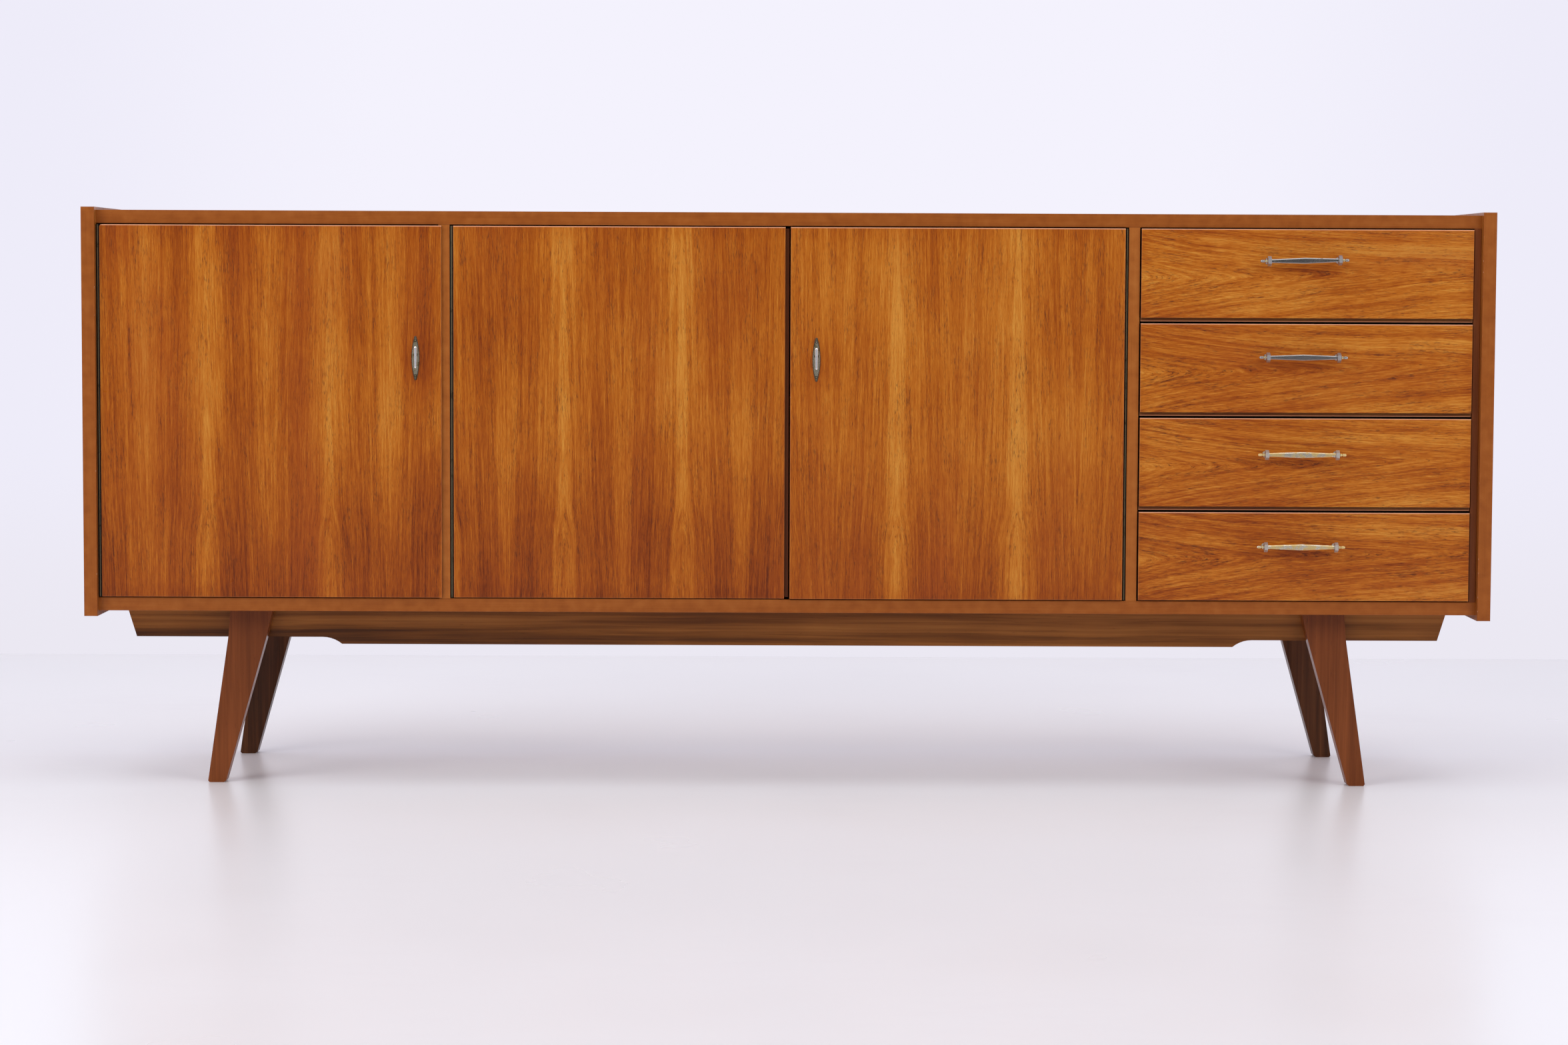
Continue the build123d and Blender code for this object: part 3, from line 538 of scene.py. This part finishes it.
hinges = [joint for joint in frame["joints"] if joint["name"].endswith("_hinge")]
barrels = [joint["pos_m"][0] for joint in hinges]
clothe(
    matching("hinge_screws"),
    metal("screw_brass", (150, 134, 100), (112, 96, 66), 50.0, 0.10, 0.42),
)
clothe(
    matching("hinge_leaf", "hinge_leaves", "hinge_pins"),
    metal("aged_brass", (106, 95, 72), (80, 70, 48), 51.0, 0.10, 0.42, barrels=barrels),
)
for node in matching("escutcheon"):
    name = "nickel_" + node
    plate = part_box(node)
    clothe([node], metal(name, (196, 188, 164), (134, 124, 92), 53.0, 0.20, 0.26, plate=plate))
clothe(
    matching("key_cover"),
    metal("cover_nickel", (240, 238, 236), (196, 190, 176), 54.0, 0.10, 0.16),
)
for number in (1, 2, 3, 4):
    node = f"drawer_{number}_pull"
    low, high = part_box(node)
    worn = number > 2      # the lower two are yellower and rubbed
    material = metal(
        f"pull_plating_{number}",
        (228, 220, 200) if worn else (172, 168, 166),
        (232, 204, 142) if worn else (120, 110, 98),
        57.0 + number,
        0.45 if worn else 0.05,
        0.24 if worn else 0.18,
        middle=(low[0] + high[0]) / 2,
    )
    clothe([node], material)
clothe(
    matching("shelf_pins", "leg_screws", "lock_", "slide_bolt"),
    metal("steel", (170, 170, 172), (120, 116, 110), 61.0, 0.2, 0.3),
)
assert not bare, sorted(bare)      # every CAD node has its finish

# ------------------------------------------------------------------ floor, wall, light

WALL_Y = 1.587
WALL_HEIGHT = 8.0
FLOOR_REACH = 14.0
SKY_ROUND = 0.50           # the strength of the light from all round
SKY_BEHIND = 0.10          # and from straight behind the camera, so that the fronts don't glare
SKY_SEEN = 0.98            # the background that the camera sees


def sheet(name, corners, material):
    """A flat part of the stage."""
    mesh = bpy.data.meshes.new(name)
    mesh.from_pydata(corners, [], [(0, 1, 2, 3)])
    piece = bpy.data.objects.new(name, mesh)
    mesh.materials.append(material)
    bpy.context.scene.collection.objects.link(piece)
    piece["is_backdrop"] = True


def floor_paint():
    """A pale, slightly clouded floor."""
    paint = Paint("floor_paint")
    cloud = paint.noise(paint.x * 2.2, paint.y * 2.2, 0.0, 4.0)
    scuff = paint.noise(paint.x * 9.0, paint.y * 30.0, 3.0, 4.0, 0.7)
    grey = paint.step(cloud + scuff * 0.4, 0.0, 0.8) * 0.35
    colour = paint.mix(grey, (252, 251, 255), (240, 237, 243))
    return paint.finish(colour, 0.30 + cloud * 0.08, cloud, 0.0002, Specular_IOR_Level=0.25)


def wall_paint():
    """A pale wall that glows, with painted light falloff to its sides and painted shade near the
    floor, clear from its back so that the object can be seen from behind.
    """
    paint = Paint("wall_paint")
    # painted light falloff: dimmer to the sides, and painted shade near the floor below
    aside = paint.step(abs(paint.x), 0.7, 1.5)
    colour = paint.mix(aside, (244, 242, 253), (238, 236, 249))
    colour = paint.mix(paint.step(paint.z, 0.0, 0.45, 1.0, 0.0), colour, (235, 232, 242))
    glow = paint.add("ShaderNodeEmission", colour)
    clear = paint.add("ShaderNodeBsdfTransparent")
    side = paint.add("ShaderNodeNewGeometry")
    mix = paint.add("ShaderNodeMixShader")
    out = paint.add("ShaderNodeOutputMaterial")
    paint.tree.links.new(side.outputs["Backfacing"], mix.inputs[0])
    paint.tree.links.new(glow.outputs[0], mix.inputs[1])
    paint.tree.links.new(clear.outputs[0], mix.inputs[2])
    paint.tree.links.new(mix.outputs[0], out.inputs[0])
    return paint.material


r = FLOOR_REACH
sheet("floor", [(-r, -r, 0.0), (r, -r, 0.0), (r, r, 0.0), (-r, r, 0.0)], floor_paint())
sheet(
    "wall",
    [(-r, WALL_Y, 0.0), (r, WALL_Y, 0.0), (r, WALL_Y, WALL_HEIGHT), (-r, WALL_Y, WALL_HEIGHT)],
    wall_paint(),
)

world = bpy.data.worlds.new("studio")
bpy.context.scene.world = world
world.use_nodes = True
tree = world.node_tree
tree.nodes.clear()
direction = tree.nodes.new("ShaderNodeTexCoord")
split = tree.nodes.new("ShaderNodeSeparateXYZ")
tree.links.new(direction.outputs["Generated"], split.inputs[0])
dim = tree.nodes.new("ShaderNodeMapRange")
dim.interpolation_type = "SMOOTHSTEP"
tree.links.new(split.outputs["Y"], dim.inputs["Value"])
for key, number in (
    ("From Min", -0.985),
    ("From Max", -0.82),
    ("To Min", SKY_BEHIND),
    ("To Max", SKY_ROUND),
):
    dim.inputs[key].default_value = number
path = tree.nodes.new("ShaderNodeLightPath")
seen = tree.nodes.new("ShaderNodeMix")
seen.data_type = "FLOAT"
tree.links.new(path.outputs["Is Camera Ray"], seen.inputs[0])
tree.links.new(dim.outputs["Result"], seen.inputs[2])
seen.inputs[3].default_value = SKY_SEEN
sky = tree.nodes.new("ShaderNodeBackground")
sky.inputs["Color"].default_value = (0.97, 0.97, 1.0, 1.0)
tree.links.new(seen.outputs[0], sky.inputs["Strength"])
out = tree.nodes.new("ShaderNodeOutputWorld")
tree.links.new(sky.outputs[0], out.inputs[0])


def soft_light(name, place, target, size, power):
    """A large area light at a place, aimed at a target."""
    data = bpy.data.lights.new(name, "AREA")
    data.shape = "RECTANGLE"
    data.size, data.size_y = size
    data.energy = power
    lamp = bpy.data.objects.new(name, data)
    lamp.location = place
    aim = Vector(target) - Vector(place)
    lamp.rotation_euler = aim.to_track_quat("-Z", "Y").to_euler()
    bpy.context.scene.collection.objects.link(lamp)


soft_light("key_left", (-3.4, -3.2, 2.6), (-0.2, 0.0, 0.45), (2.4, 2.0), 62)
soft_light("key_right", (3.4, -3.6, 2.4), (0.3, 0.0, 0.45), (2.4, 2.0), 46)
soft_light("overhead", (0.0, -0.9, 3.4), (0.0, -0.2, 0.4), (4.5, 1.8), 26)

# ------------------------------------------------------------------ camera

CAMERA_PLACE = (-0.0297, -5.2097, 0.7217)
YAW_RIGHT, PITCH_DOWN, ROLL = 0.2704, 3.8829, 0.2383
LENS_MM = 81.1

data = bpy.data.cameras.new("camera")
data.lens = LENS_MM
data.sensor_width = 36.0
camera = bpy.data.objects.new("camera", data)
camera.location = CAMERA_PLACE
turn = (
    Matrix.Rotation(math.radians(-YAW_RIGHT), 4, "Z")
    @ Matrix.Rotation(math.radians(90.0 - PITCH_DOWN), 4, "X")
    @ Matrix.Rotation(math.radians(ROLL), 4, "Z")
)
camera.rotation_euler = turn.to_euler()
bpy.context.scene.collection.objects.link(camera)
bpy.context.scene.camera = camera
bpy.context.scene.view_settings.view_transform = "Standard"

low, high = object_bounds()
